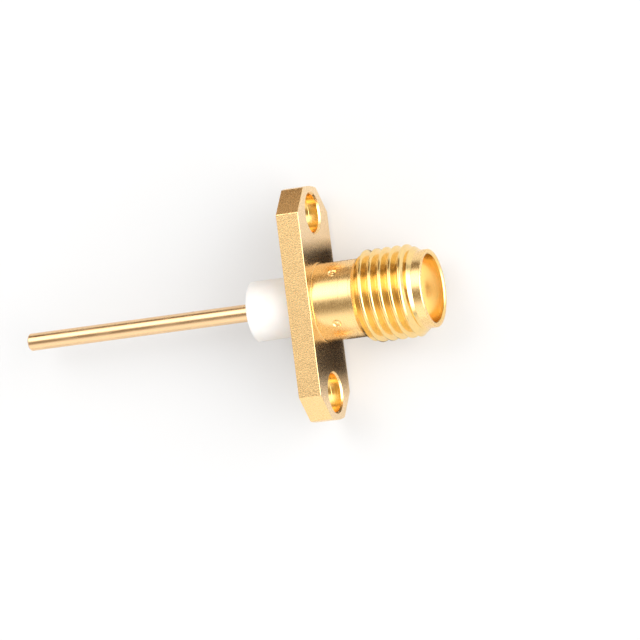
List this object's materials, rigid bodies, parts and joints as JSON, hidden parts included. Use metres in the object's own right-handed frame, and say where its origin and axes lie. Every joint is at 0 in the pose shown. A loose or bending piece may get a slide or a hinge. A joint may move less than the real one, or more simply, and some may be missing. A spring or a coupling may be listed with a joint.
{
  "type": "sma connector",
  "caption": "Threaded coaxial panel jack on a two-hole flange, with an insulator that stands out behind and a long solder tail.",
  "frame": {"origin": "centre of the flange's back face, on the connector's axis", "axes": "+X along the axis towards the mouth, +Y along the flange, +Z across the flange and up as the part lies"},
  "size_m": [0.0295, 0.016, 0.0062],
  "materials": {
    "gold_plated_body": "gold plate over turned and milled brass, satin on the milled sides",
    "white_fluoropolymer": "waxy white, slightly translucent, turned",
    "gold_plated_contact": "gold plate, drawn and polished"
  },
  "bodies": {
    "root": {"connector_body": "gold_plated_body", "insulator": "white_fluoropolymer", "center_contact": "gold_plated_contact"}
  },
  "joints": []
}
